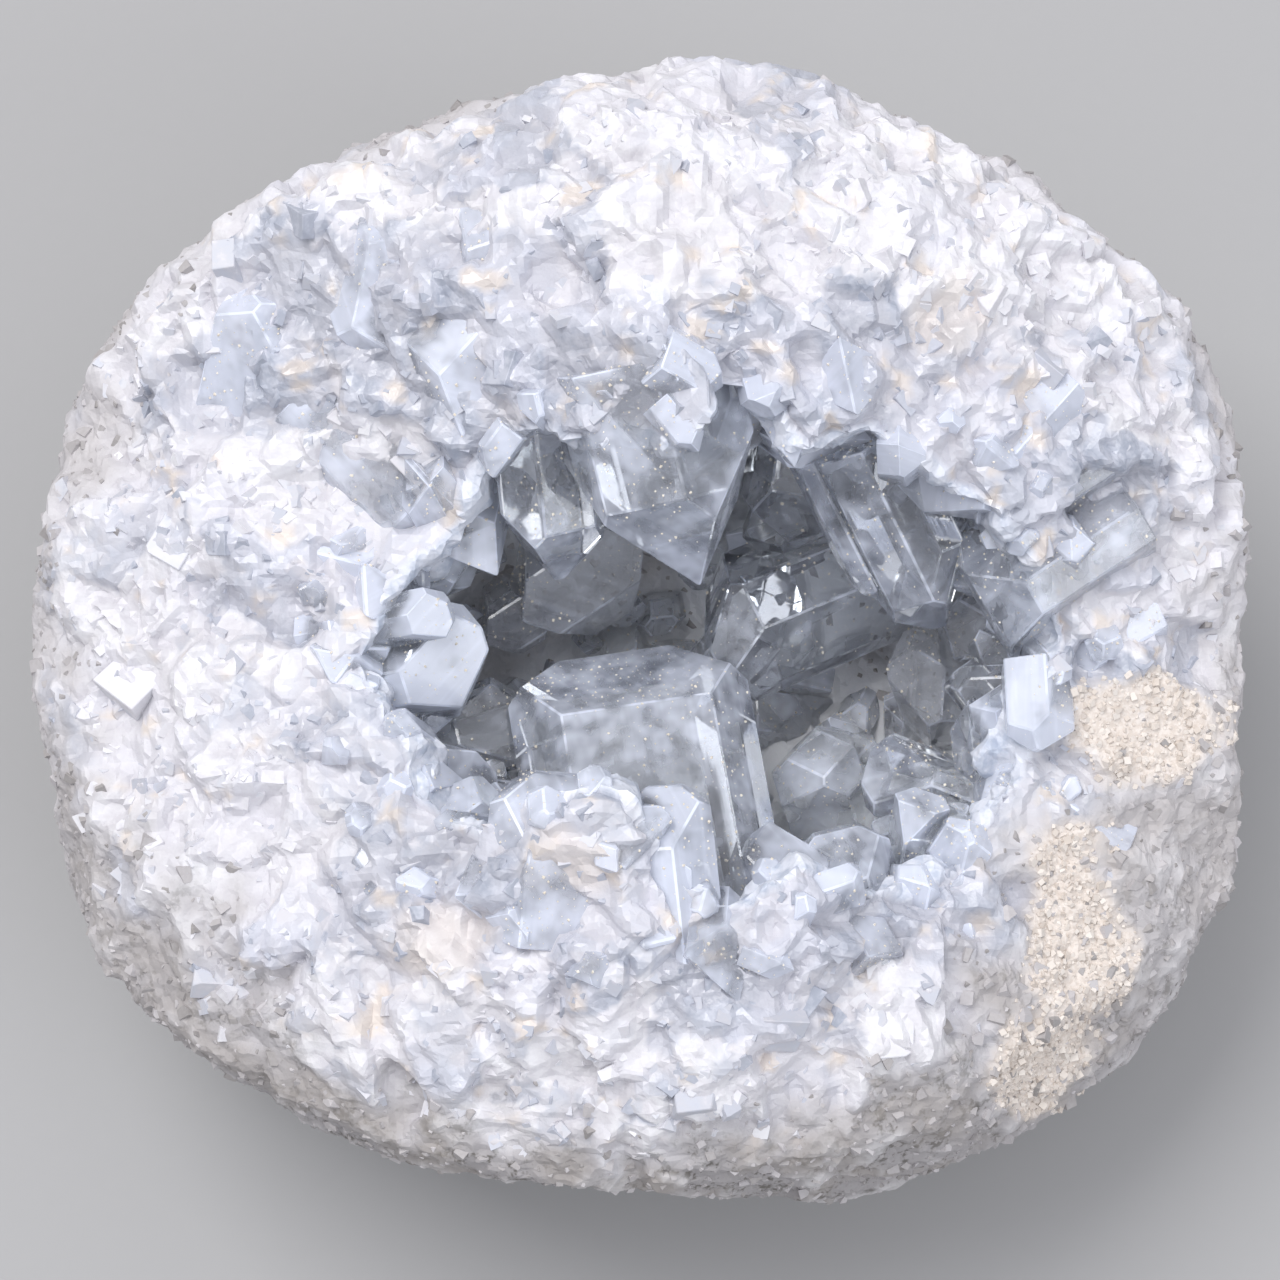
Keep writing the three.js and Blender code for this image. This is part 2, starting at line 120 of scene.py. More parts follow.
# The crystals that stand out in the hollow, in the lump's frame: root, tip, thickness and width;
# roll: degrees about its length; ends: the faces at its tip; blunt: where its end is cut off flat,
# as a share of its length; ridge: the length of a chisel's edge; milk: how cloudy it is;
# satellites: how many smaller crystals grow along it, one where nothing is said.
LARGE_CRYSTALS = [
    dict(root=(-1, 27, 20), tip=(5, 3, 15), section=(15, 21), roll=16, ends=WEDGE_ENDS, milk=0.5,
         satellites=0),
    dict(root=(-10, 27, 17), tip=(-8, 6, 9), section=(9, 13), roll=-22, ends=WEDGE_ENDS, milk=0.3),
    dict(root=(20, 20, 14), tip=(30.5, 0.5, 4), section=(10, 13), roll=30, ends=WEDGE_ENDS, milk=0.35),
    dict(root=(47, 13, 8), tip=(31, 2.5, 9), section=(12, 15), roll=-20, blunt=0.9, ridge=5, milk=0.3),
    dict(root=(17, 28, 4), tip=(14.5, 10, 0), section=(9, 12), roll=5, milk=0.1),
    dict(root=(26, 8, -10), tip=(4, -1, 0), section=(13, 16), roll=10, blunt=0.95, milk=0.2),
    dict(root=(-8, 10, -15), tip=(-6, 5, 3), section=(13, 17), roll=12, blunt=0.85, ridge=8, milk=0.1),
    dict(root=(-31, -4, 5), tip=(-14.5, -1, 10), section=(11, 14), roll=20, blunt=0.95, milk=0.95),
    dict(root=(-25, -12, -3), tip=(-11, -7, 5), section=(8, 11), roll=-15, milk=0.3),
    dict(root=(3, -31, 15), tip=(-2.5, 0.5, 2), section=(13, 25), roll=4, ridge=15, milk=0.5, satellites=0),
    dict(root=(20, -20, -9), tip=(16, -9, 3), section=(10, 12), roll=35, blunt=0.8, milk=0.45),
    dict(root=(38, -19, 3), tip=(20, -12, 6), section=(9, 10), roll=20, milk=0.3),
    dict(root=(21, -33, 12), tip=(17, -17, 13), section=(9, 13), roll=0, blunt=0.9, milk=0.5),
    dict(root=(40, -5, -10), tip=(23, -5, -3), section=(10, 14), roll=-8, blunt=0.95, milk=0.2),
    dict(root=(13, 4, -12), tip=(11, -4.5, 1), section=(5, 7), roll=40, ends=WEDGE_ENDS, milk=0.2),
    dict(root=(22, 26, 8), tip=(18, 13.5, 5), section=(6, 8), roll=-30, ends=WEDGE_ENDS, milk=0.8),
    dict(root=(-31, 14, -2), tip=(-24, 9, 4), section=(6, 7), roll=20, milk=0.5),
    dict(root=(-26, 22, 5), tip=(-17, 8, 2), section=(7, 10), roll=35, milk=0.2),
    dict(root=(36, 6, -3), tip=(30, -2, 1), section=(7, 9), roll=15, milk=0.15),
    dict(root=(-14, -28, 12), tip=(-13, -13, 9), section=(8, 11), roll=-30, milk=0.5),
    dict(root=(-26, -21, 9), tip=(-15, -11, 9), section=(8, 11), roll=10, milk=0.6),
    dict(root=(33, -22, 6), tip=(24, -17, 9), section=(7, 9), roll=-35, milk=0.45),
]

# Broken crystals in the rim that are big enough to be told apart, as LARGE_CRYSTALS but with no satellites.
LARGE_SLABS = [
    dict(root=(-39, 22, 3), tip=(-35, 36, 10), section=(11, 14), roll=35, blunt=0.85, milk=0.7),
    dict(root=(-27, 42, 6), tip=(-21, 27, 17), section=(13, 17), roll=-12, blunt=0.9, milk=0.75),
    dict(root=(-14, 43, 11), tip=(-11, 27, 20), section=(12, 15), roll=14, blunt=0.85, milk=0.75),
    dict(root=(-22, 33, 11), tip=(-10, 21, 18), section=(12, 18), roll=5, blunt=0.9, milk=0.7),
    dict(root=(-31, 26, 9), tip=(-15.5, 10, 11), section=(7, 18), roll=12, ridge=4, milk=0.6),
    dict(root=(46, -21, 4), tip=(31, -11, 6), section=(11, 14), roll=-10, blunt=0.85, milk=0.8),
    dict(root=(36, -34, 4), tip=(24, -22, 14), section=(13, 14), roll=-15, blunt=0.8, milk=0.8),
    dict(root=(-37, -15, 8), tip=(-23, -5, 11), section=(10, 12), roll=40, blunt=0.9, milk=0.95),
    dict(root=(38, 27, 12), tip=(25, 12.5, 13), section=(10, 18), roll=10, blunt=0.95, milk=0.8),
    dict(root=(17, 33, 15), tip=(16, 15.5, 15), section=(8, 14), roll=-24, blunt=0.95, milk=0.8),
    dict(root=(8, 31, 18), tip=(10, 17, 17), section=(8, 11), roll=-12, milk=0.8),
    dict(root=(49, 4, 4), tip=(36, -3, 7), section=(9, 13), roll=-10, milk=0.8),
    dict(root=(-34, 9, 8), tip=(-22.5, 6, 10), section=(7, 10), roll=30, milk=0.95),
    dict(root=(-29, -28, 12), tip=(-20, -18, 20), section=(9, 12), roll=-20, blunt=0.9, milk=0.5),
    dict(root=(-9, -28, 21), tip=(-7, -11, 24), section=(10, 15), roll=10, blunt=0.9, milk=0.6),
    dict(root=(-20, -26, 13), tip=(-17, -12, 14), section=(9, 13), roll=-25, milk=0.7),
    dict(root=(2, -30, 21), tip=(0, -12, 23), section=(9, 13), roll=-12, blunt=0.9, milk=0.8),
    dict(root=(14, -31, 13), tip=(13, -17, 15), section=(8, 12), roll=20, milk=0.6),
]

EDGE_WEAR = 0.15  # how far a crystal's edges are rubbed off, in millimetres
SMOOTHING = 14  # rounds that even out the ways in which the rock's surface moves
EDGE_SHARE = 0.07  # of a block's size, over which its face turns into the next one's

# How the smaller crystals stand on the hollow's wall and round its mouth. apart, long and broad:
# against the settings' sizes; sunk: the share of the length that is in the rock; lean: how far
# they lean from the wall's normal; milk: how much cloudier they are.
WALL_STAND = dict(apart=1.0, long=1.0, broad=1.0, sunk=0.35, lean=0.45, milk=0.0)
MOUTH_STAND = dict(apart=1.2, long=0.68, broad=1.5, sunk=0.76, lean=0.3, milk=0.35)
MOUTH_HEIGHT = 7  # in millimetres, in the lump's frame: above it a crystal stands round the mouth
CANDIDATES = 4000  # points of the wall, and as many round the mouth, that such a crystal may take

# The heights, on a ball of radius 1 round the lump's middle, between which broken rock gives way to
# rind, and how much higher they are on the near side.
RIND_EDGE = (0.16, 0.02)
NEAR_RISE = 0.37

# The blocks of the broken face: their spacing against the settings', how far their faces lean, and
# how far they move against the settings' reach.
LARGE_FACES = dict(apart=1.0, tilt=0.4, reach=1.0)
MEDIUM_FACES = dict(apart=0.45, tilt=0.45, reach=0.55)
SMALL_FACES = dict(apart=0.22, tilt=0.4, reach=0.13)

# The camera frames a square of this many pixels, and its middle lies this many beside the geode's.
FRAME_PIXELS = 1280
SHIFT_PIXELS = -5


# ---- Settings -----------------------------------------------------------------------------------------
class RockSettings(bpy.types.PropertyGroup):
    """Sizes and colours of the rock."""

    grid: FloatProperty(
        name="Grid", description="Size of the rock's mesh cells", default=0.62 * MM, unit="LENGTH"
    )
    triangles: IntProperty(
        name="Triangles", description="How many triangles the rock keeps", default=190000, min=1000
    )
    block_spacing: FloatProperty(
        name="Block spacing", description="Distance between broken blocks", default=7.5 * MM, unit="LENGTH"
    )
    block_reach: FloatProperty(
        name="Block reach", description="Most that a block's face moves", default=0.95 * MM, unit="LENGTH"
    )
    inset: FloatProperty(
        name="Inset",
        description="How far the face lies under its loose blocks",
        default=0.7 * MM,
        unit="LENGTH",
    )
    grain_reach: FloatProperty(
        name="Grain reach", description="Height of the rind's roughness", default=0.55 * MM, unit="LENGTH"
    )
    large_blocks: FloatProperty(
        name="Large blocks", description="Large blocks on each square metre", default=7e3, min=0
    )
    small_blocks: FloatProperty(
        name="Small blocks", description="Small blocks on each square metre", default=220e3, min=0
    )
    white: FloatVectorProperty(
        name="White", description="Sugary celestite", default=(0.66, 0.65, 0.70), subtype="COLOR"
    )
    window: FloatVectorProperty(
        name="Window", description="Clear celestite", default=(0.34, 0.37, 0.45), subtype="COLOR"
    )
    tan: FloatVectorProperty(
        name="Tan", description="Sandy matrix", default=(0.64, 0.57, 0.52), subtype="COLOR"
    )


class CrystalSettings(bpy.types.PropertyGroup):
    """Sizes and optical values of the crystals."""

    small_spacing: FloatProperty(
        name="Small spacing", description="Distance between small crystals", default=4.5 * MM, unit="LENGTH"
    )
    small_size: FloatProperty(
        name="Small size", description="Length of the longest small crystals", default=15 * MM, unit="LENGTH"
    )
    refraction: FloatProperty(name="Refraction", description="Index of refraction", default=1.62)
    absorption: FloatProperty(
        name="Absorption", description="Density of the absorption, for each metre", default=6.0
    )
    tint: FloatVectorProperty(
        name="Tint",
        description="Colour that the crystal lets through",
        default=(0.30, 0.52, 0.82),
        subtype="COLOR",
    )
    milk: FloatVectorProperty(
        name="Milk", description="Colour of the cloudy parts", default=(0.80, 0.85, 1.0), subtype="COLOR"
    )


class GrainSettings(bpy.types.PropertyGroup):
    """Sizes and numbers of the grains."""

    sand_spacing: FloatProperty(
        name="Sand spacing", description="Distance between sand grains", default=0.42 * MM, unit="LENGTH"
    )
    rind_spacing: FloatProperty(
        name="Rind spacing",
        description="Distance between grains of the rind",
        default=1.15 * MM,
        unit="LENGTH",
    )
    dust_spacing: FloatProperty(
        name="Dust spacing", description="Distance between specks of dust", default=0.5 * MM, unit="LENGTH"
    )
    seed: IntProperty(name="Seed", description="Start of the grains' random numbers", default=4)


class StageSettings(bpy.types.PropertyGroup):
    """Floor, light and camera."""

    floor: FloatVectorProperty(
        name="Floor", description="Colour of the floor", default=(0.40, 0.40, 0.41), subtype="COLOR"
    )
    key_power: FloatProperty(name="Key light", description="Power of the large light, in watts", default=5.2)
    sky: FloatProperty(name="Sky", description="Strength of the light from all round", default=0.7)
    camera_distance: FloatProperty(
        name="Camera distance", description="From the geode's middle", default=0.356, unit="LENGTH"
    )


# ---- Node trees ---------------------------------------------------------------------------------------
class Wire:
    """An output socket of a graph. Arithmetic on it adds Math nodes."""

    def __init__(self, graph, socket):
        self.graph = graph
        self.socket = socket

    def math(self, operation, *others):
        values = dict(enumerate((self, *others)))
        return self.graph.add("ShaderNodeMath", {"operation": operation}, values)

    def __add__(self, other):
        return self.math("ADD", other)

    def __sub__(self, other):
        return self.math("SUBTRACT", other)

    def __rsub__(self, other):
        return (self * -1.0) + other

    def __mul__(self, other):
        return self.math("MULTIPLY", other)

    def __pow__(self, other):
        return self.math("POWER", other)

    __radd__ = __add__
    __rmul__ = __mul__

    def step(self, low, high):
        """0 below low, 1 above high, smooth between."""
        values = {"Value": self, "From Min": low, "From Max": high}
        return self.graph.add("ShaderNodeMapRange", {"interpolation_type": "SMOOTHSTEP"}, values)


class Graph:
    """A node tree, filled by one call for each node."""

    def __init__(self, tree):
        self.tree = tree
        self.tree.nodes.clear()

    def add(self, kind, settings=None, inputs=None, output=0):
        """Adds a node: its settings first, then the values or wires of its sockets."""
        node = self.tree.nodes.new(kind)
        for name, value in (settings or {}).items():
            setattr(node, name, value)
        for name, value in (inputs or {}).items():
            if isinstance(value, Wire):
                self.tree.links.new(value.socket, node.inputs[name])
            else:
                node.inputs[name].default_value = value
        return Wire(self, node.outputs[output]) if node.outputs else node

    def mix(self, share, first, second):
        """Mixes two colours."""
        inputs = {0: share, 6: opaque(first), 7: opaque(second)}
        return self.add("ShaderNodeMix", {"data_type": "RGBA"}, inputs, output=2)

    def noise(self, place, size, detail=3.0, roughness=0.55, output="Fac"):
        """Noise whose features are about as large as size."""
        inputs = {"Vector": place, "Scale": 1 / size, "Detail": detail, "Roughness": roughness}
        return self.add("ShaderNodeTexNoise", {}, inputs, output)

    def attribute(self, name):
        """A number that the piece's points carry."""
        return self.add("ShaderNodeAttribute", {"attribute_name": name}, output="Fac")

    def bump(self, height, distance, strength=1.0):
        """A normal that a height makes uneven."""
        inputs = {"Height": height, "Distance": distance, "Strength": strength}
        return self.add("ShaderNodeBump", {}, inputs)


def opaque(color):
    """A colour with its alpha, or the wire as it is."""
    return color if isinstance(color, Wire) else (*color, 1.0)


def new_material(name):
    """A material with its graph and the Object coordinates, empty but for its output."""
    material = bpy.data.materials.new(name)
    material.use_nodes = True
    graph = Graph(material.node_tree)
    place = graph.add("ShaderNodeTexCoord", output="Object")
    return material, graph, place


def show(graph, surface, volume=None):
    """Ends a material's graph with its surface and, where it has one, its volume."""
    inputs = {"Surface": surface} if volume is None else {"Surface": surface, "Volume": volume}
    graph.add("ShaderNodeOutputMaterial", {}, inputs)


# ---- Materials ----------------------------------------------------------------------------------------
def celestite_color(graph, colors, clear, mottle):
    """Sugary white to a grey-blue window, by how clear it is."""
    white = graph.mix(mottle.step(0.35, 0.65), tuple(colors.white), (0.78, 0.78, 0.82))
    window = graph.mix(mottle.step(0.35, 0.65), tuple(colors.window), (0.52, 0.54, 0.62))
    return graph.mix((clear + (mottle - 0.5) * 1.4).step(0.15, 0.85), white, window)


def rock_material(colors):
    """Sugary white celestite with clear windows, tan sand and a mottled rind, by attributes, with painted
    shade in the low places of the broken face and painted light on the hollow's deep wall.
    """
    material, graph, place = new_material("broken_celestite")
    rind = graph.attribute("rind")
    sand = graph.attribute("sand")
    clear = graph.attribute("clear")
    relief = graph.attribute("relief")
    wall = graph.attribute("wall")
    cloud = graph.attribute("cloud")
    stain = graph.attribute("stain")
    mottle = graph.noise(place, 2.2 * MM, 3, 0.68)
    grain = graph.noise(place, 0.5 * MM, 2, 0.7)

    base = celestite_color(graph, colors, clear, mottle)
    base = graph.mix(cloud * 0.5, base, (0.70, 0.70, 0.78))
    # Painted shade: the broken face turns darker grey in its low places, between its blocks.
    base = graph.mix(relief.step(0.42, 0.1) * 0.3, base, (0.52, 0.50, 0.53))
    base = graph.mix(stain * 0.5, base, (0.76, 0.64, 0.52))
    dirt = (mottle + grain * 0.5).step(0.76, 0.92)
    shell = graph.mix(dirt, (0.34, 0.325, 0.335), (0.12, 0.11, 0.10))
    shell = graph.mix(cloud * 0.6, shell, (0.33, 0.30, 0.28))
    # The rind is lighter on its raised lumps.
    shell = graph.mix(relief.step(0.5, 0.75) * 0.6, shell, (0.66, 0.65, 0.67))
    # The rind is paler towards the broken face and away from the near side.
    shell = graph.mix(graph.attribute("pale") * 0.6, shell, (0.66, 0.64, 0.67))
    base = graph.mix(rind, base, shell)
    earth = graph.mix(grain.step(0.35, 0.65), tuple(colors.tan), (0.74, 0.68, 0.64))
    earth = graph.mix(mottle.step(0.6, 0.75) * 0.5, earth, (0.78, 0.75, 0.75))
    base = graph.mix(sand, base, earth)
    lining = graph.mix(mottle.step(0.3, 0.6), (0.46, 0.52, 0.64), (0.74, 0.77, 0.86))
    base = graph.mix(wall * 0.9, base, lining)
    # Painted light: the hollow's wall turns near-white where it lies deep, lightening the shade down there.
    base = graph.mix(graph.attribute("deep"), base, (0.93, 0.94, 0.97))
    roughness = 0.5 + sand * 0.3 + rind * 0.25 - clear * 0.25
    inputs = {
        "Base Color": base,
        "Roughness": roughness,
        "Normal": graph.bump(grain, 0.12 * MM, 0.5),
        "IOR": 1.55,
    }
    show(graph, graph.add("ShaderNodeBsdfPrincipled", {}, inputs))
    return material


def block_material(colors):
    """Broken celestite blocks: white and sugary to grey-blue, by each block's own clearness."""
    material, graph, place = new_material("celestite_block")
    mottle = graph.noise(place, 1.6 * MM, 3, 0.65)
    base = celestite_color(graph, colors, graph.attribute("clearness"), mottle)
    inputs = {"Base Color": base, "Roughness": 0.3 + mottle * 0.4, "IOR": 1.6}
    show(graph, graph.add("ShaderNodeBsdfPrincipled", {}, inputs))
    return material


def crystal_material(optics):
    """Clear blue-grey celestite: cloudy in places, rubbed white on its edges, lined along its growth."""
    material, graph, place = new_material("clear_celestite")
    along = graph.add("ShaderNodeUVMap", {"uv_map": "growth"})
    stretched = graph.add(
        "ShaderNodeMapping", {"vector_type": "POINT"}, {"Vector": along, "Scale": (0.07, 0.8, 1.0)}
    )
    lines = graph.noise(stretched, 1.0, 2, 0.6)
    worn = graph.add("ShaderNodeSeparateXYZ", {}, {0: graph.add("ShaderNodeUVMap", {"uv_map": "edge"})}, "X")
    veil = graph.noise(place, 4 * MM, 2, 0.62)
    cloudy = (graph.attribute("milk") + (veil - 0.5) * 1.6).step(0.1, 0.9)
    outside = 1.0 - graph.add("ShaderNodeNewGeometry", output="Backfacing")
    skin = (0.12 + cloudy * 0.5 + lines.step(0.45, 0.7) * 0.08 + worn * veil.step(0.4, 0.6) * 0.25) * outside
    normal = graph.bump(lines, 0.06 * MM, 0.25)
    clear = {
        "Base Color": (0.97, 0.985, 1.0, 1),
        "Roughness": 0.02 + veil * 0.08,
        "Transmission Weight": 1.0,
        "IOR": optics.refraction,
        "Normal": normal,
    }
    milky = {
        "Base Color": opaque(tuple(optics.milk)),
        "Roughness": 0.1 + veil * 0.25,
        "IOR": optics.refraction,
        "Normal": normal,
    }
    clear = graph.add("ShaderNodeBsdfPrincipled", {"distribution": "GGX"}, clear)
    milky = graph.add("ShaderNodeBsdfPrincipled", {"distribution": "GGX"}, milky)
    surface = graph.add("ShaderNodeMixShader", {}, {0: skin, 1: clear, 2: milky})
    absorption = {"Color": opaque(tuple(optics.tint)), "Density": optics.absorption}
    show(graph, surface, graph.add("ShaderNodeVolumeAbsorption", {}, absorption))
    return material


def grain_material(name, light, dark, roughness):
    """Grains between two colours, each with its own share of them."""
    material, graph, place = new_material(name)
    own = graph.attribute("clearness")
    speck = graph.noise(place, 0.4 * MM, 3, 0.6)
    base = graph.mix((own + speck * 0.4 - 0.2), light, dark)
    inputs = {"Base Color": base, "Roughness": roughness}
    show(graph, graph.add("ShaderNodeBsdfPrincipled", {}, inputs))
    return material


# ---- Meshes -------------------------------------------------------------------------------------------
def linked(name, mesh):
    """A new object in the scene, for a mesh, a light or a camera."""
    piece = bpy.data.objects.new(name, mesh)
    bpy.context.scene.collection.objects.link(piece)
    return piece


def baked(piece, name):
    """A new piece with the evaluated mesh of another, which is then removed."""
    bpy.context.view_layer.update()
    depsgraph = bpy.context.evaluated_depsgraph_get()
    mesh = bpy.data.meshes.new_from_object(
        piece.evaluated_get(depsgraph), preserve_all_data_layers=True, depsgraph=depsgraph
    )
    bpy.data.objects.remove(piece)
    mesh.name = name
    return linked(name, mesh)


def merged_copy(node, name):
    """A piece with a CAD node's mesh, its loose triangles joined."""
    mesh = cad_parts[node].data.copy()
    mesh.materials.clear()
    joining = bmesh.new()
    joining.from_mesh(mesh)
    bmesh.ops.remove_doubles(joining, verts=joining.verts, dist=0.001 * MM)
    joining.to_mesh(mesh)
    joining.free()
    return linked(name, mesh)


def read(mesh_values, key, width):
    """One property of a mesh's points, attribute values or normals, as rows of an array."""
    values = np.empty(len(mesh_values) * width, np.float32)
    mesh_values.foreach_get(key, values)
    return values.reshape(-1, width).astype(float)


def store(mesh, name, values):
    """Gives a mesh's points an attribute."""
    attribute = mesh.attributes.new(name, "FLOAT", "POINT")
    attribute.data.foreach_set("value", values.astype(np.float32))


def placed(points, matrix):
    """Points, or with no translation directions, through a matrix."""
    whole = np.array(matrix)
    return points @ whole[:3, :3].T + whole[:3, 3]


def kept_in_box(piece):
    """Pulls what reaches past the CAD model's box back to it."""
    points = read(piece.data.vertices, "co", 3)
    inside = np.clip(points, np.array(CAD_LOW), np.array(CAD_HIGH))
    piece.data.vertices.foreach_set("co", inside.astype(np.float32).ravel())
    piece.data.update()


def dressed(piece, material, smooth=False):
    """Gives a finished piece its material and shading, and its body."""
    piece.data.materials.clear()
    piece.data.materials.append(material)
    piece.data.polygons.foreach_set("material_index", np.zeros(len(piece.data.polygons), np.int32))
    piece.data.polygons.foreach_set("use_smooth", np.full(len(piece.data.polygons), smooth))
    kept_in_box(piece)
    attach(piece, BODY)
    return piece


def smoothed(mesh, vectors, rounds):
    """Unit vectors of a mesh's points, each evened out with those of its neighbours."""
    ends = np.empty(2 * len(mesh.edges), np.int32)
    mesh.edges.foreach_get("vertices", ends)
    first, second = ends[0::2], ends[1::2]
    for _ in range(rounds):
        total = vectors.copy()
        for k in range(3):
            total[:, k] += np.bincount(first, vectors[second, k], len(vectors))
            total[:, k] += np.bincount(second, vectors[first, k], len(vectors))
        vectors = total / np.linalg.norm(total, axis=1)[:, None]
    return vectors


def smoothstep(values, low, high):
    """A soft step from 0 at low to 1 at high, or down again where low is the larger."""
    share = np.clip((values - low) / (high - low), 0, 1)
    return share * share * (3 - 2 * share)


def noise_at(points, size, octaves=1, offset=0.0):
    """Noise, about -1 to 1, at each point."""
    scaled = points / size + offset
    return np.array([noise.fractal(p, 0.9, 2.1, octaves, noise_basis="PERLIN_NEW") for p in scaled])


# ---- Convex solids ------------------------------------------------------------------------------------
def face_normal(h, k, l):
    """The way that a crystal face looks, by its three indices."""
    normal = np.array((h / CELL[0], k / CELL[1], l / CELL[2]))
    return normal / np.linalg.norm(normal)


def corners_of(planes):
    """The corners of the solid behind a set of planes, each a normal and a distance."""
    normals = np.array([normal for normal, _ in planes])
    distances = np.array([distance for _, distance in planes])
    triples = np.array(list(itertools.combinations(range(len(planes)), 3)))
    systems = normals[triples]
    solvable = np.abs(np.linalg.det(systems)) > 1e-4
    found = np.linalg.solve(systems[solvable], distances[triples[solvable]][:, :, None])[:, :, 0]
    size = distances.max()
    inside = (found @ normals.T <= distances + 1e-6 * size).all(1)
    corners = []
    for corner in found[inside]:
        if all(np.linalg.norm(corner - known) > 0.004 * size for known in corners):
            corners.append(corner)
    return corners


def crystal_planes(rng, length, section, blunt=1.05, ends=FULL_ENDS, ridge=0.0):
    """The faces of a crystal with its root at the origin that grows along +X."""
    thickness, width = section
    planes = [(np.array((-1.0, 0, 0)), 0.0), (np.array((1.0, 0, 0)), length * blunt)]
    for side in (-1, 1):
        planes.append((face_normal(0, 0, side), thickness / 2))
        for other in (-1, 1):
            dome = face_normal(0, side, other)
            planes.append((dome, abs(dome[1]) * width * rng.uniform(0.85, 1) / 2))
    for indices in ends:
        normal = face_normal(*indices)
        meets = normal[0] * length * rng.uniform(0.88, 1.08)
        planes.append((normal, meets + abs(normal[1]) * ridge / 2))
    return planes


def block_planes(rng):
    """The faces of a broken block, about a metre across its middle, with one or two corners off."""
    pairs = [((0, 0, 1), rng.uniform(0.45, 0.8)), ((2, 1, 0), rng.uniform(0.8, 1.3)), ((2, -1, 0), 0.9)]
    planes = []
    for indices, across in pairs:
        normal = face_normal(*indices)
        planes += [(normal, across / 2), (-normal, across / 2)]
    for _ in range(2):
        broken = rng.normal(size=3)
        broken /= np.linalg.norm(broken)
        planes.append((broken, rng.uniform(0.42, 0.62)))
    return planes


def grain_planes(rng):
    """The faces of a small rounded grain, about a metre across."""
    normals = rng.normal(size=(9, 3))
    normals /= np.linalg.norm(normals, axis=1)[:, None]
    cube = [np.array(n) * s for n in ((1.0, 0, 0), (0, 1.0, 0), (0, 0, 1.0)) for s in (-1, 1)]
    return [(n, 0.5) for n in cube] + [(n, rng.uniform(0.36, 0.48)) for n in normals[:3]]


def convex_piece(name, planes, matrix, wear=0.0, marks=None):
    """The solid between planes, with its edges rubbed off by wear, placed by a matrix.

    Its UV maps hold each point's place along and across the solid, and a 1
    where an edge is rubbed off. marks: numbers that all its points carry.
    """
    shape = bmesh.new()
    for corner in corners_of(planes):
        shape.verts.new(corner)
    bmesh.ops.convex_hull(shape, input=shape.verts)
    bmesh.ops.dissolve_limit(shape, angle_limit=0.02, verts=shape.verts, edges=shape.edges)
    worn = set()
    if wear:
        made = bmesh.ops.bevel(
            shape, geom=list(shape.edges), offset=wear, segments=1, affect="EDGES", clamp_overlap=True
        )
        worn.update(made["faces"])
    bmesh.ops.recalc_face_normals(shape, faces=shape.faces)
    if shape.calc_volume(signed=True) < 0.0:
        bmesh.ops.reverse_faces(shape, faces=shape.faces)
    growth = shape.loops.layers.uv.new("growth")
    edge = shape.loops.layers.uv.new("edge")
    for face in shape.faces:
        for loop in face.loops:
            x, y, z = loop.vert.co
            loop[growth].uv = (x, 0.8 * y + 0.6 * z)
            loop[edge].uv = (float(face in worn), 0.0)
    mesh = bpy.data.meshes.new(name)
    shape.to_mesh(mesh)
    shape.free()
    mesh.transform(matrix)
    for mark, value in (marks or {}).items():
        store(mesh, mark, np.full(len(mesh.vertices), value))
    return linked(name, mesh)


def united(parts, name):
    """One piece made of closed ones, with nothing left of one inside another."""
    others = bpy.data.collections.new(name + "_others")
    for part in parts[1:]:
        bpy.context.scene.collection.objects.unlink(part)
        others.objects.link(part)
    union = parts[0].modifiers.new("union", "BOOLEAN")
    union.operation = "UNION"
    union.operand_type = "COLLECTION"
    union.collection = others
    union.solver = "MANIFOLD"
    piece = baked(parts[0], name)
    for part in parts[1:]:
        bpy.data.objects.remove(part)
    bpy.data.collections.remove(others)
    return piece


def growing(root, tip, roll, facing=Vector((0, 0, 1))):
    """The place of a crystal: X from its root to its tip, Z near the way it faces."""
    x = (tip - root).normalized()
    y = facing.cross(x).normalized()
    turn = Matrix((x, y, x.cross(y))).transposed().to_4x4()
    return Matrix.Translation(root) @ turn @ Matrix.Rotation(roll, 4, "X")


# ---- Scattering ---------------------------------------------------------------------------------------
# The inputs of the scatter tree. Where and Clearness name attributes of the surface's points: how
# densely the shapes lie, and how clear they are.
SCATTER_INPUTS = {
    "Shapes": "NodeSocketCollection",
    "Where": "NodeSocketString",
    "Spacing": "NodeSocketFloat",
    "Density": "NodeSocketFloat",
    "Smallest": "NodeSocketFloat",
    "Largest": "NodeSocketFloat",
    "Skew": "NodeSocketFloat",
    "Tilt": "NodeSocketFloat",
    "Stretch": "NodeSocketFloat",
    "Domain": "NodeSocketFloat",
    "Sink": "NodeSocketFloat",
    "Clearness": "NodeSocketString",
    "Seed": "NodeSocketInt",
    "Material": "NodeSocketMaterial",
}


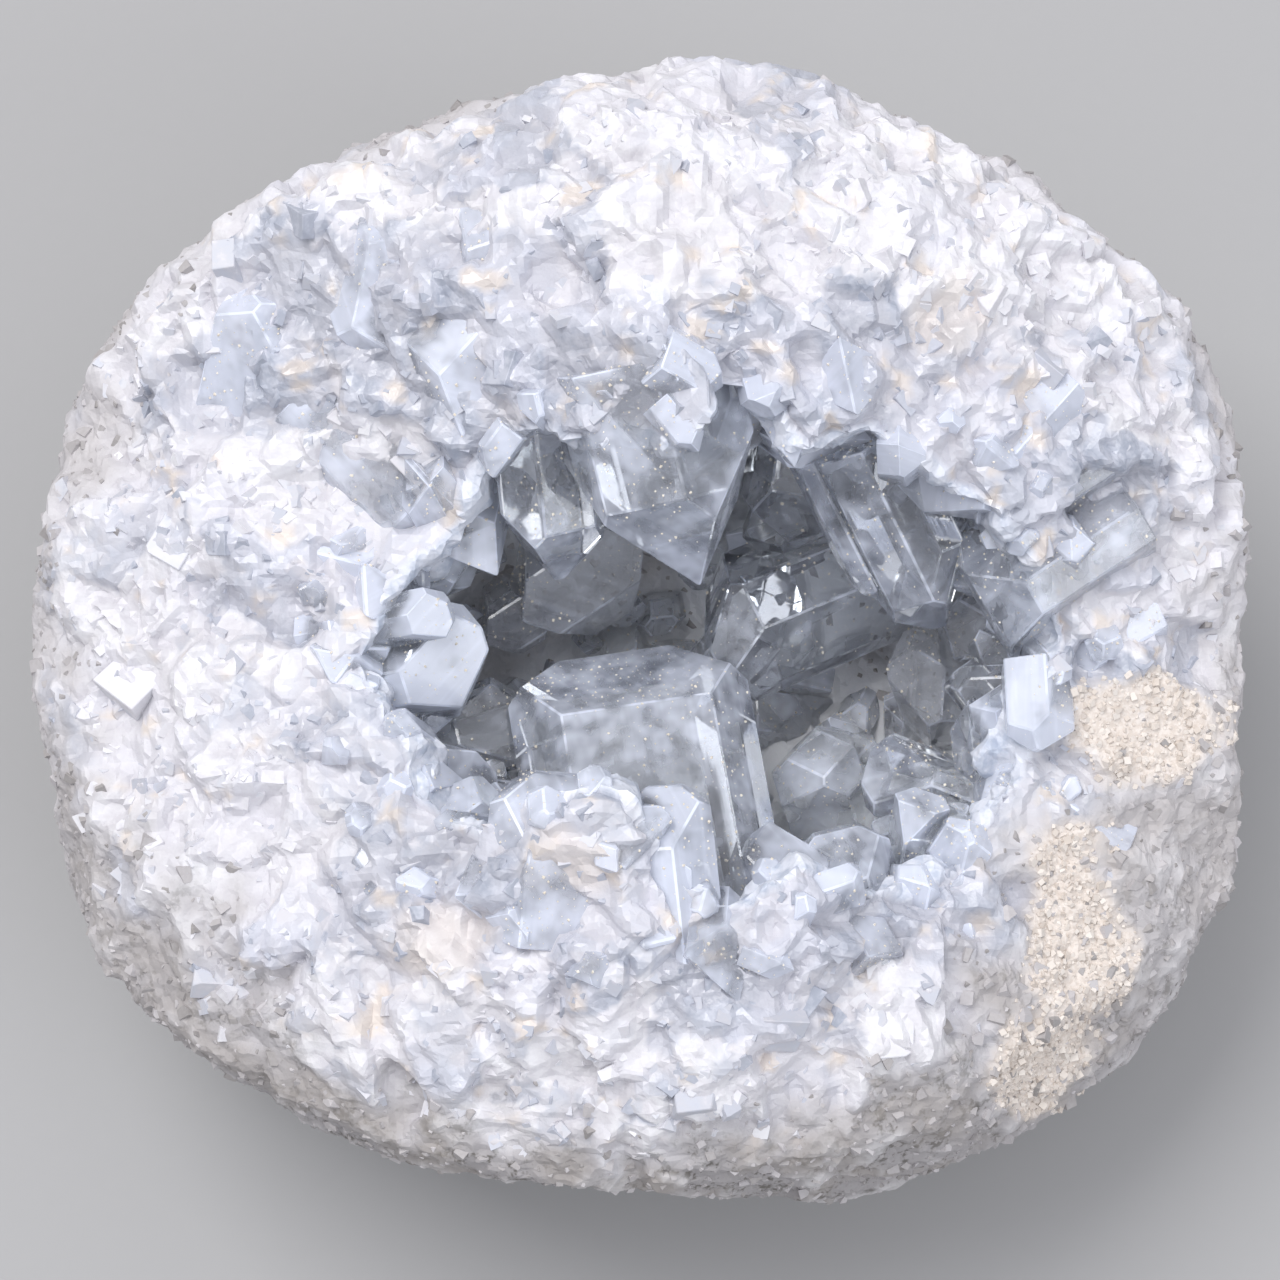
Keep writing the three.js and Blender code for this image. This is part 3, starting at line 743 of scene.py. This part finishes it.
def scatter_tree():
    """Shapes set on a surface: turned about its normal, tilted alike within a domain, and realized."""
    tree = bpy.data.node_groups.new("scatter", "GeometryNodeTree")
    tree.interface.new_socket("Geometry", in_out="INPUT", socket_type="NodeSocketGeometry")
    tree.interface.new_socket("Geometry", in_out="OUTPUT", socket_type="NodeSocketGeometry")
    for name, kind in SCATTER_INPUTS.items():
        tree.interface.new_socket(name, in_out="INPUT", socket_type=kind)
    graph = Graph(tree)

    def given(name):
        return graph.add("NodeGroupInput", output=name)

    def chance(low, high, shift, kind="FLOAT"):
        settings = {"data_type": kind}
        first = {"FLOAT": 2, "FLOAT_VECTOR": 0, "INT": 4}[kind]
        output = {"FLOAT": 1, "FLOAT_VECTOR": 0, "INT": 2}[kind]
        inputs = {first: low, first + 1: high, "Seed": given("Seed") + float(shift)}
        return graph.add("FunctionNodeRandomValue", settings, inputs, output)

    def named(name):
        settings = {"data_type": "FLOAT"}
        return graph.add("GeometryNodeInputNamedAttribute", settings, {"Name": given(name)})

    def vector_math(operation, first, second):
        return graph.add("ShaderNodeVectorMath", {"operation": operation}, {0: first, 1: second})

    def times(vector, number):
        return graph.add("ShaderNodeVectorMath", {"operation": "SCALE"}, {0: vector, "Scale": number})

    def part_of(vector, axis):
        return graph.add("ShaderNodeSeparateXYZ", {}, {0: vector}, axis)

    inputs = {
        "Mesh": given("Geometry"),
        "Distance Min": given("Spacing"),
        "Density Max": given("Density"),
        "Density Factor": named("Where"),
        "Seed": given("Seed"),
    }
    settings = {"distribute_method": "POISSON"}
    points = graph.add("GeometryNodeDistributePointsOnFaces", settings, inputs)
    node = points.socket.node
    rotation = Wire(graph, node.outputs["Rotation"])
    normal = Wire(graph, node.outputs["Normal"])

    place = times(graph.add("GeometryNodeInputPosition"), given("Domain"))
    cells = graph.add("ShaderNodeTexVoronoi", {}, {"Vector": place, "Scale": 1.0}, "Color")
    shared = vector_math("SUBTRACT", cells, (0.5, 0.5, 0.5))
    own = chance((-0.5,) * 3, (0.5,) * 3, 3, "FLOAT_VECTOR")
    turn = times(vector_math("ADD", shared, own), given("Tilt"))
    spin = part_of(shared, "Z") * (2 * math.tau) + chance(-0.35, 0.35, 4)
    tilts = graph.add("ShaderNodeCombineXYZ", {}, {0: part_of(turn, "X"), 1: part_of(turn, "Y"), 2: spin})
    turned = graph.add("FunctionNodeEulerToRotation", {}, {0: tilts})
    rotation = graph.add(
        "FunctionNodeRotateRotation", {"rotation_space": "LOCAL"}, {0: rotation, 1: turned}
    )

    size = given("Smallest") + (given("Largest") - given("Smallest")) * chance(0.0, 1.0, 1) ** given("Skew")
    long = size * chance(0.8, 1.0, 5) * given("Stretch")
    scale = graph.add("ShaderNodeCombineXYZ", {}, {0: long, 1: size * chance(0.75, 1.2, 6), 2: size})
    down = times(normal, size * given("Sink") * -1.0)
    points = graph.add("GeometryNodeSetPosition", {}, {"Geometry": points, "Offset": down})
    clear = named("Clearness") * 0.6 + chance(0.0, 0.6, 2)
    points = graph.add(
        "GeometryNodeStoreNamedAttribute",
        {"data_type": "FLOAT", "domain": "POINT"},
        {"Geometry": points, "Name": "clearness", "Value": clear},
    )
    shapes = graph.add(
        "GeometryNodeCollectionInfo",
        {},
        {"Collection": given("Shapes"), "Separate Children": True, "Reset Children": True},
    )
    inputs = {
        "Points": points,
        "Instance": shapes,
        "Pick Instance": True,
        "Instance Index": chance(0, 99, 7, "INT"),
        "Rotation": rotation,
        "Scale": scale,
    }
    instances = graph.add("GeometryNodeInstanceOnPoints", {}, inputs)
    real = graph.add("GeometryNodeRealizeInstances", {}, {"Geometry": instances})
    made = graph.add("GeometryNodeSetMaterial", {}, {"Geometry": real, "Material": given("Material")})
    graph.add("NodeGroupOutput", {}, {"Geometry": made})
    return tree


def scattered(name, surface, shapes, material, slot, **values):
    """A piece made of shapes scattered on a surface. values are the tree's inputs, by name."""
    tree = bpy.data.node_groups.get("scatter") or scatter_tree()
    collection = bpy.data.collections.new(name + "_shapes")
    for shape in shapes:
        bpy.context.scene.collection.objects.unlink(shape)
        collection.objects.link(shape)
    holder = linked(name + "_holder", surface.data.copy())
    modifier = holder.modifiers.new("scatter", "NODES")
    modifier.node_group = tree
    given = {"Shapes": collection, "Material": material, **values}
    for socket in tree.interface.items_tree:
        if socket.name in given:
            modifier[socket.identifier] = given[socket.name]
    piece = baked(holder, name)
    for shape in shapes:
        bpy.data.objects.remove(shape)
    bpy.data.collections.remove(collection)
    return dressed(piece, material)


def shapes_from(count, rng, planes_for, wear=0.0):
    """Convex solids about a metre long, to be scattered."""
    return [convex_piece(f"shape_{i}", planes_for(rng), Matrix.Identity(4), wear) for i in range(count)]


# ---- The rock -----------------------------------------------------------------------------------------
def patch_share(lump_points, patches, uneven):
    """How far each point lies in one of the patches, from 0 to 1, with a ragged edge."""
    share = np.zeros(len(lump_points))
    for x, y, half_width, half_height in patches:
        across = (lump_points[:, 0] - x) / half_width
        up = (lump_points[:, 1] - y) / half_height
        here = smoothstep(np.hypot(across, up) + 0.45 * uneven, 1.15, 0.75)
        share = np.maximum(share, here * (lump_points[:, 2] > -4))
    return share


def zones(points, normals):
    """Shares of each point in the rock's zones: rind, wall of the hollow, sand and clear patches."""
    lump_points = placed(points, TO_LUMP)
    uneven = noise_at(points, 6 * MM, 4)
    direction = lump_points / np.linalg.norm(lump_points, axis=1)[:, None]
    towards_near = np.clip(-direction[:, 1], 0, 1)
    rise = NEAR_RISE * towards_near
    rind = smoothstep(direction[:, 2] + 0.09 * uneven, RIND_EDGE[0] + rise, RIND_EDGE[1] + rise)
    away = (lump_points - HOLLOW_MIDDLE) / HOLLOW_HALF_SIZE
    flat = np.linalg.norm(away[:, :2], axis=1)
    whole = np.where(away[:, 2] < 0, np.linalg.norm(away, axis=1), flat)
    facing = placed(normals, TO_LUMP.to_3x3().to_4x4()) * MM
    inward = -(facing * away).sum(1)
    wall = smoothstep(whole, 1.12, 1.0) * (inward > 0)
    near_mouth = smoothstep(flat, 1.45, 1.0) * (1 - wall)
    sand = patch_share(lump_points, SAND_PATCHES, uneven) * (1 - wall)
    clear = np.maximum(patch_share(lump_points, CLEAR_PATCHES, uneven), 0.8 * near_mouth) * (1 - sand)
    room = np.minimum(np.array(CAD_HIGH) - points, points - np.array(CAD_LOW)).min(1)
    broken = (1 - rind) * (1 - wall) * (1 - 0.9 * sand)
    upward = smoothstep(facing[:, 2], 0.45, 0.75)
    return {
        "rind": rind * (1 - wall),
        "wall": wall,
        "sand": sand,
        "clear": clear,
        "mouth": near_mouth * (1 - rind),
        # Painted light: near-white colour on the hollow's deep wall.
        "deep": wall * smoothstep(lump_points[:, 2], 7, -3),
        "stain": 0.6 * patch_share(lump_points, STAIN_PATCHES, uneven),
        "broken": broken,
        "blocks": broken * upward * smoothstep(room, 0.5 * MM, 3 * MM),
        "chips": broken * upward * smoothstep(room, 0, 1.5 * MM) * (1 - 0.5 * clear),
        # How far the rind turns paler: towards the broken face and away from the near side.
        "pale": smoothstep(direction[:, 2], -0.45, 0.1) * (1 - towards_near),
    }


def block_faces(points, normals, area, settings, rng, apart, tilt, reach):
    """How far each point moves along its normal to lie on the flat faces of the blocks near it.

    Also gives the block nearest to each point.
    """
    spacing = apart * settings.block_spacing
    reach = reach * settings.block_reach
    chosen = rng.choice(len(points), size=int(area / spacing**2), replace=False)
    tree = KDTree(len(chosen))
    for i, p in enumerate(points[chosen]):
        tree.insert(p, i)
    tree.balance()
    warp = np.stack([noise_at(points, 3 * MM, 1, k * 11.0) for k in range(3)], 1) * 0.06 * spacing
    found = np.array([[(i, away) for _, i, away in tree.find_n(p, 3)] for p in points + warp])
    near = found[:, :, 0].astype(int)
    away = found[:, :, 1]
    share = np.exp((away[:, :1] - away) / (EDGE_SHARE * spacing))
    share /= share.sum(1)[:, None]
    facing = normals[chosen] + tilt * rng.normal(size=(len(chosen), 3))
    facing /= np.linalg.norm(facing, axis=1)[:, None]
    lift = rng.uniform(-0.35, 0.35, len(chosen)) * reach
    looks = facing[near]
    gap = ((points[chosen][near] - points[:, None]) * looks).sum(2) + lift[near]
    along = np.maximum((normals[:, None] * looks).sum(2), 0.35)
    return (share * np.clip(gap / along, -reach, reach)).sum(1), near[:, 0]


def make_rock(settings):
    """The lump: its broken face cut into blocks, its rind rough, and its zones kept as attributes."""
    coarse = merged_copy("rock", "rock_grid")
    remesh = coarse.modifiers.new("grid", "REMESH")
    remesh.mode = "VOXEL"
    remesh.voxel_size = settings.grid
    rock = baked(coarse, "broken_rock")
    mesh = rock.data
    rng = np.random.default_rng(SEEDS["rock"])
    points = read(mesh.vertices, "co", 3)
    normals = smoothed(mesh, read(mesh.vertex_normals, "vector", 3), SMOOTHING)
    area = sum(face.area for face in mesh.polygons)
    share = zones(points, normals)

    common = (points, normals, area, settings, rng)
    large, block = block_faces(*common, **LARGE_FACES)
    medium, part = block_faces(*common, **MEDIUM_FACES)
    small, _ = block_faces(*common, **SMALL_FACES)
    lumps = noise_at(points, 5 * MM, 3) * settings.grain_reach
    grains = noise_at(points, 1.5 * MM, 3, 5.0) * 0.6 * settings.grain_reach
    faces = large + medium
    move = share["broken"] * (faces + small - settings.inset) + share["wall"] * faces
    move = move + (share["rind"] + 0.4 * share["sand"]) * (lumps + grains)
    down = smoothstep(points[:, 2], 0.0, 1.5 * MM)
    moved = points + normals * (move * down)[:, None]
    mesh.vertices.foreach_set("co", moved.astype(np.float32).ravel())
    mesh.update()

    own_clear = 0.6 * rng.random(block.max() + 1)[block] + 0.4 * rng.random(part.max() + 1)[part]
    share["clear"] = np.clip(share["clear"] * 0.9 + smoothstep(own_clear, 0.4, 0.75) * 0.9 - 0.2, 0, 1)
    # How high each point lies after its move; the rock's material paints shade where it lies low.
    share["relief"] = np.clip(0.5 + 0.5 * move / settings.block_reach, 0, 1)
    share["cloud"] = smoothstep(noise_at(points, 9 * MM, 4, 20.0), -0.25, 0.35)
    share["stain"] = np.maximum(share["stain"], smoothstep(noise_at(points, 4 * MM, 4, 40.0), 0.4, 0.65))
    for name, values in share.items():
        store(mesh, name, values)
    fewer = rock.modifiers.new("fewer", "DECIMATE")
    fewer.ratio = settings.triangles / (2 * len(mesh.polygons))
    rock = dressed(baked(rock, "broken_rock"), rock_material(settings))
    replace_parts(rock, "rock")


def make_blocks(settings):
    """Broken blocks of two sizes that stand out of the broken face."""
    rock = bpy.data.objects["broken_rock"]
    rng = np.random.default_rng(SEEDS["blocks"])
    material = block_material(settings)
    large = shapes_from(8, rng, block_planes, wear=0.02)
    scattered(
        "rim_blocks", rock, large, material, ROCK_SLOT, Where="blocks", Clearness="clear",
        Spacing=3.0 * MM, Density=settings.large_blocks, Smallest=2.0 * MM, Largest=4.8 * MM,
        Skew=1.8, Stretch=1.3, Tilt=0.5, Domain=1 / (11 * MM), Sink=0.44, Seed=SEEDS["rim_blocks"],
    )
    small = shapes_from(8, rng, block_planes)
    scattered(
        "rim_chips", rock, small, material, ROCK_SLOT, Where="chips", Clearness="clear",
        Spacing=0.65 * MM, Density=settings.small_blocks, Smallest=0.5 * MM, Largest=1.7 * MM,
        Skew=1.8, Stretch=1.4, Tilt=0.6, Domain=1 / (6 * MM), Sink=0.34, Seed=SEEDS["rim_chips"],
    )


# ---- The crystals -------------------------------------------------------------------------------------
def crystal_group(rng, root, tip, section, roll, milk, satellites=1, **shape):
    """A large crystal and the smaller ones that grow along it."""
    root, tip = Vector(root), Vector(tip)
    length = (tip - root).length
    place = FROM_LUMP @ growing(root, tip, math.radians(roll))
    planes = crystal_planes(rng, length, section, **shape)
    group = [convex_piece("crystal", planes, place, EDGE_WEAR, {"milk": milk})]
    thickness, width = section
    for _ in range(satellites):
        part = rng.uniform(0.35, 0.55)
        across = rng.choice((-1, 1)) * rng.uniform(0.3, 0.5) * width
        aside = Matrix.Translation((0, across, rng.uniform(-0.3, 0.45) * thickness))
        shorter = length * rng.uniform(0.6, 0.93)
        planes = crystal_planes(rng, shorter, (part * thickness, part * width), **shape)
        group.append(convex_piece("crystal", planes, place @ aside, EDGE_WEAR, {"milk": milk}))
    return group


def crystals_in(places, rng, **common):
    """All the crystals of a list of places, with what is common to them."""
    return [part for crystal in places for part in crystal_group(rng, **{**common, **crystal})]


def wall_crystals(settings, rng):
    """Crystals that stand side by side on the hollow's wall, and broad cloudy ones round its mouth."""
    mesh = bpy.data.objects["broken_rock"].data
    points = placed(read(mesh.vertices, "co", 3), TO_LUMP)
    wall, mouth = (read(mesh.attributes[name].data, "value", 1)[:, 0] for name in ("wall", "mouth"))
    normals = placed(read(mesh.vertex_normals, "vector", 3), TO_LUMP.to_3x3().to_4x4()) * MM
    edge = (wall > 0.1) & (wall < 0.9) & (points[:, 2] > 5)
    inside = ~edge & ((wall > 0.5) | (mouth > 0.6))
    likely = [rng.permutation(np.flatnonzero(part))[:CANDIDATES] for part in (edge, inside)]
    group, taken = [], []
    for i in np.concatenate(likely):
        stand = MOUTH_STAND if points[i][2] > MOUTH_HEIGHT else WALL_STAND
        spacing = stand["apart"] * settings.small_spacing / MM
        if taken and np.linalg.norm(points[i] - points[taken], axis=1).min() < spacing:
            continue
        taken.append(i)
        length = stand["long"] * settings.small_size / MM * (0.45 + 0.55 * rng.random() ** 1.5)
        way = normals[i] + stand["lean"] * rng.normal(size=3)
        way /= np.linalg.norm(way)
        breadth = stand["broad"] * length
        section = breadth * rng.uniform(0.32, 0.5), breadth * rng.uniform(0.4, 0.65)
        shape = dict(ends=[CHISEL, FULL_ENDS, WEDGE_ENDS][rng.integers(3)], blunt=rng.uniform(0.85, 1.05))
        planes = crystal_planes(rng, length, section, **shape)
        root = Vector(points[i] - way * stand["sunk"] * length)
        roll = rng.uniform(0, math.tau)
        place = FROM_LUMP @ growing(root, root + Vector(way), roll, Vector((0.1, 0.2, 1)))
        marks = {"milk": rng.uniform(0.1, 0.6) + stand["milk"]}
        group.append(convex_piece("crystal", planes, place, EDGE_WEAR, marks))
    return group


def make_crystals(settings):
    """The hollow's crystals, grown together, and the large slabs of the rim."""
    rng = np.random.default_rng(SEEDS["crystals"])
    material = crystal_material(settings)
    crystals = crystals_in(LARGE_CRYSTALS, rng) + wall_crystals(settings, rng)
    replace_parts(dressed(united(crystals, "hollow_crystals"), material), "crystal_crust")
    slabs = crystals_in(LARGE_SLABS, rng, satellites=0)
    dressed(united(slabs, "rim_slabs"), material)


# ---- Grains -------------------------------------------------------------------------------------------
def make_grains(settings):
    """Sand in the tan patches, grains of the rind and dust on the crystals."""
    rock = bpy.data.objects["broken_rock"]
    rng = np.random.default_rng(SEEDS["grains"])
    sand = grain_material("sand_grain", (0.76, 0.71, 0.67), (0.54, 0.46, 0.40), 0.8)
    rind = grain_material("rind_grain", (0.54, 0.52, 0.54), (0.19, 0.175, 0.16), 0.7)
    dust = grain_material("dust_speck", (0.85, 0.80, 0.72), (0.70, 0.62, 0.50), 0.8)
    common = {"Tilt": 1.5, "Stretch": 1.1, "Domain": 1 / MM}
    scattered(
        "sand_grains", rock, shapes_from(5, rng, grain_planes), sand, ROCK_SLOT, **common,
        Where="sand", Spacing=settings.sand_spacing, Density=4e6, Smallest=0.25 * MM,
        Largest=0.8 * MM, Skew=2.5, Sink=0.1, Seed=settings.seed,
    )
    scattered(
        "rind_grains", rock, shapes_from(6, rng, grain_planes), rind, ROCK_SLOT, **common,
        Where="rind", Spacing=settings.rind_spacing, Density=900e3, Smallest=0.4 * MM,
        Largest=1.4 * MM, Skew=3.0, Sink=0.32, Seed=settings.seed + 1,
    )
    for source in ("hollow_crystals", "rim_slabs"):
        dusty = bpy.data.objects[source]
        normals = read(dusty.data.vertex_normals, "vector", 3)
        points = read(dusty.data.vertices, "co", 3)
        uneven = noise_at(points, 7 * MM, 2)
        store(dusty.data, "dusty", smoothstep(normals[:, 2], 0.1, 0.7) * smoothstep(uneven, -0.5, 0.4))
        scattered(
            source + "_dust", dusty, shapes_from(4, rng, grain_planes), dust, CRYSTAL_SLOT,
            **common, Where="dusty", Spacing=settings.dust_spacing, Density=3e6,
            Smallest=0.07 * MM, Largest=0.26 * MM, Skew=3.0, Sink=0.0, Seed=settings.seed + 2,
        )


# ---- The stage ----------------------------------------------------------------------------------------
def aimed(thing, place, target):
    """Sets a light or camera at a place, looking at a target."""
    thing.location = place
    thing.rotation_mode = "QUATERNION"
    thing.rotation_quaternion = (target - Vector(place)).to_track_quat("-Z", "Y")


def area_light(name, place, size, power, color):
    """A square light that looks at the geode's middle."""
    light = bpy.data.lights.new(name, "AREA")
    light.size = size
    light.energy = power
    light.color = color
    aimed(linked(name, light), place, LUMP_MIDDLE)


def make_floor(settings):
    """A plain, faintly mottled floor."""
    mesh = bpy.data.meshes.new("floor")
    half = 3.0
    corners = [(-half, -half, 0), (half, -half, 0), (half, half, 0), (-half, half, 0)]
    mesh.from_pydata(corners, [], [(0, 1, 2, 3)])
    floor = linked("floor", mesh)
    material, graph, place = new_material("floor_paint")
    speck = graph.noise(place, 2 * MM, 3)
    base = graph.mix(speck * 0.2, tuple(settings.floor), tuple(0.9 * c for c in settings.floor))
    show(graph, graph.add("ShaderNodeBsdfPrincipled", {}, {"Base Color": base, "Roughness": 0.8}))
    mesh.materials.append(material)


def make_light(settings):
    """Light from all round, stronger from above, a large light and a weaker one across from it."""
    world = bpy.data.worlds.new("studio")
    world.use_nodes = True
    graph = Graph(world.node_tree)
    way = graph.add("ShaderNodeTexCoord", output="Generated")
    height = graph.add("ShaderNodeSeparateXYZ", {}, {0: way}, "Z")
    strength = settings.sky * (0.35 + height.step(0.0, 0.95))
    inputs = {"Color": (0.97, 0.97, 1.0, 1.0), "Strength": strength}
    background = graph.add("ShaderNodeBackground", {}, inputs)
    graph.add("ShaderNodeOutputWorld", {}, {"Surface": background})
    bpy.context.scene.world = world
    area_light("key", (-0.32, 0.2, 0.85), 0.5, settings.key_power, (1.0, 0.99, 0.97))
    area_light("fill", (0.6, -0.5, 0.55), 0.5, 0.45 * settings.key_power, (0.94, 0.97, 1.0))


def make_camera(settings):
    """A camera that looks straight at the broken face."""
    camera = bpy.data.cameras.new("camera")
    camera.lens = 100
    camera.sensor_width = 36
    camera.shift_x = SHIFT_PIXELS / FRAME_PIXELS
    camera.clip_start = 0.01
    camera.clip_end = 10
    viewer = linked("camera", camera)
    back = Vector((0, -math.sin(LEAN), math.cos(LEAN)))
    aimed(viewer, LUMP_MIDDLE + back * settings.camera_distance, LUMP_MIDDLE)
    bpy.context.scene.camera = viewer


def make_stage(settings):
    """The floor, the lights and the camera, and how far light is followed in the crystals."""
    make_floor(settings)
    make_light(settings)
    make_camera(settings)
    bpy.context.scene.cycles.max_bounces = 7
    bpy.context.scene.cycles.diffuse_bounces = 2
    bpy.context.scene.view_settings.view_transform = "Standard"


# ---- Operators and panel ------------------------------------------------------------------------------
class GEODE_OT_rock(bpy.types.Operator):
    """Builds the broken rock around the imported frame"""

    bl_idname = "geode.rock"
    bl_label = "Rock"

    def execute(self, context):
        make_rock(context.scene.geode_rock)
        return {"FINISHED"}


class GEODE_OT_blocks(bpy.types.Operator):
    """Sets broken blocks and chips on the rock's broken face"""

    bl_idname = "geode.blocks"
    bl_label = "Blocks"

    def execute(self, context):
        make_blocks(context.scene.geode_rock)
        return {"FINISHED"}


class GEODE_OT_crystals(bpy.types.Operator):
    """Grows the crystals in the hollow"""

    bl_idname = "geode.crystals"
    bl_label = "Crystals"

    def execute(self, context):
        make_crystals(context.scene.geode_crystals)
        return {"FINISHED"}


class GEODE_OT_grains(bpy.types.Operator):
    """Strews sand, rind grains and dust"""

    bl_idname = "geode.grains"
    bl_label = "Grains"

    def execute(self, context):
        make_grains(context.scene.geode_grains)
        return {"FINISHED"}


class GEODE_OT_stage(bpy.types.Operator):
    """Sets up the floor, the lights and the camera"""

    bl_idname = "geode.stage"
    bl_label = "Stage"

    def execute(self, context):
        make_stage(context.scene.geode_stage)
        return {"FINISHED"}


OPERATORS = (GEODE_OT_rock, GEODE_OT_blocks, GEODE_OT_crystals, GEODE_OT_grains, GEODE_OT_stage)
SETTINGS = {
    "geode_rock": RockSettings,
    "geode_crystals": CrystalSettings,
    "geode_grains": GrainSettings,
    "geode_stage": StageSettings,
}


class GEODE_PT_panel(bpy.types.Panel):
    """Lists the geode's settings and operators"""

    bl_label = "Celestite geode"
    bl_idname = "GEODE_PT_panel"
    bl_space_type = "VIEW_3D"
    bl_region_type = "UI"
    bl_category = "Geode"

    def draw(self, context):
        for name, group in SETTINGS.items():
            box = self.layout.box()
            for key in group.__annotations__:
                box.prop(getattr(context.scene, name), key)
        for operator in OPERATORS:
            self.layout.operator(operator.bl_idname)


def register():
    for cls in (*SETTINGS.values(), *OPERATORS, GEODE_PT_panel):
        bpy.utils.register_class(cls)
    for name, group in SETTINGS.items():
        setattr(bpy.types.Scene, name, PointerProperty(type=group))


def unregister():
    for name in SETTINGS:
        delattr(bpy.types.Scene, name)
    for cls in reversed((*SETTINGS.values(), *OPERATORS, GEODE_PT_panel)):
        bpy.utils.unregister_class(cls)


def main():
    register()
    bpy.ops.geode.stage()
    bpy.ops.geode.rock()
    bpy.ops.geode.blocks()
    bpy.ops.geode.crystals()
    bpy.ops.geode.grains()


if __name__ == "__main__":
    main()
